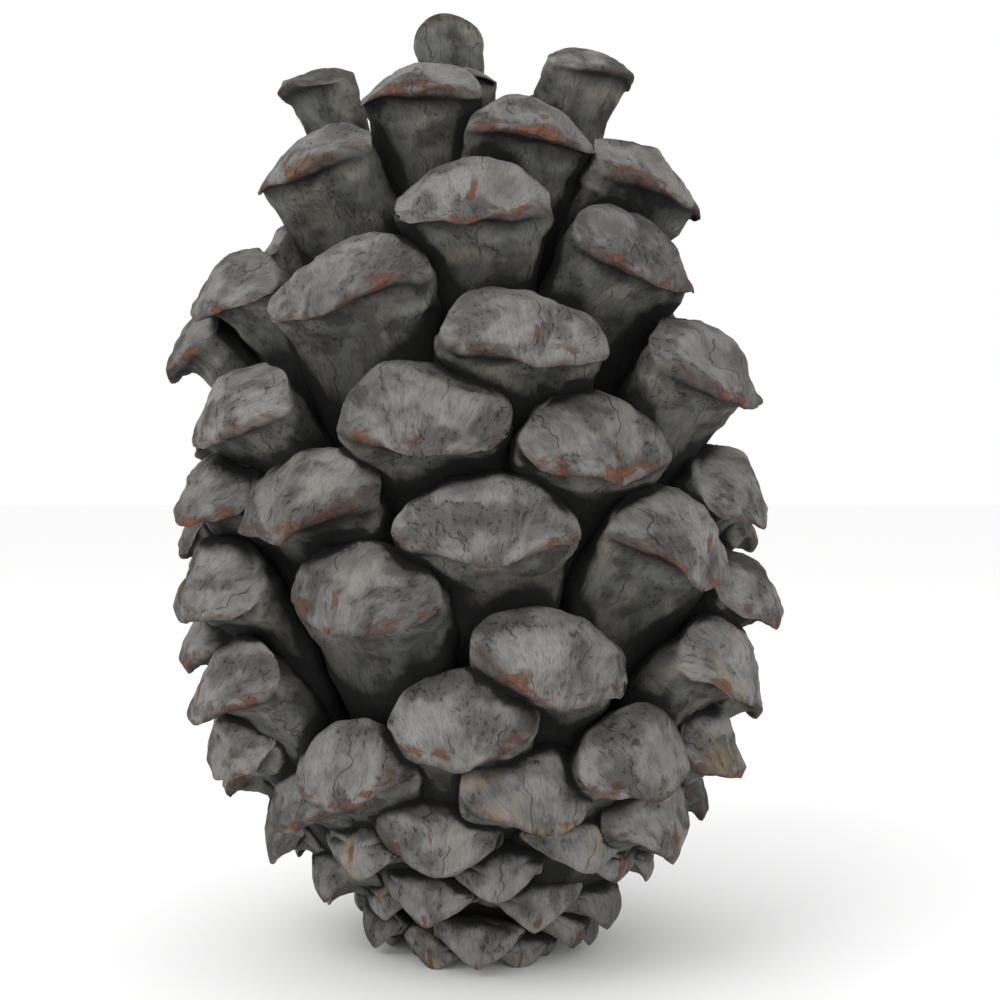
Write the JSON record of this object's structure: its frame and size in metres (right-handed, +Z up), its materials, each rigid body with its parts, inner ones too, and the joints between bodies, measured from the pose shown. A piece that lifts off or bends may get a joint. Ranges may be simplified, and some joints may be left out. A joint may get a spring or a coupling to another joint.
{
  "type": "pine cone",
  "caption": "Open, weathered pine cone with thick keeled scales set in spirals on a woody axis, standing on its trimmed base.",
  "frame": {"origin": "middle of the base, where the cone's stalk end and lowest scales meet the surface it stands on", "axes": "+Z up along the cone's axis towards its tip; -Y is the side that faces the camera in the picture, +X is to the right there"},
  "size_m": [0.0508, 0.0508, 0.0808],
  "materials": {
    "scale_wood": "dry, weathered grey wood, rust-brown on the keels, no gloss"
  },
  "bodies": {
    "root": {"pine_cone": "scale_wood"}
  },
  "joints": []
}
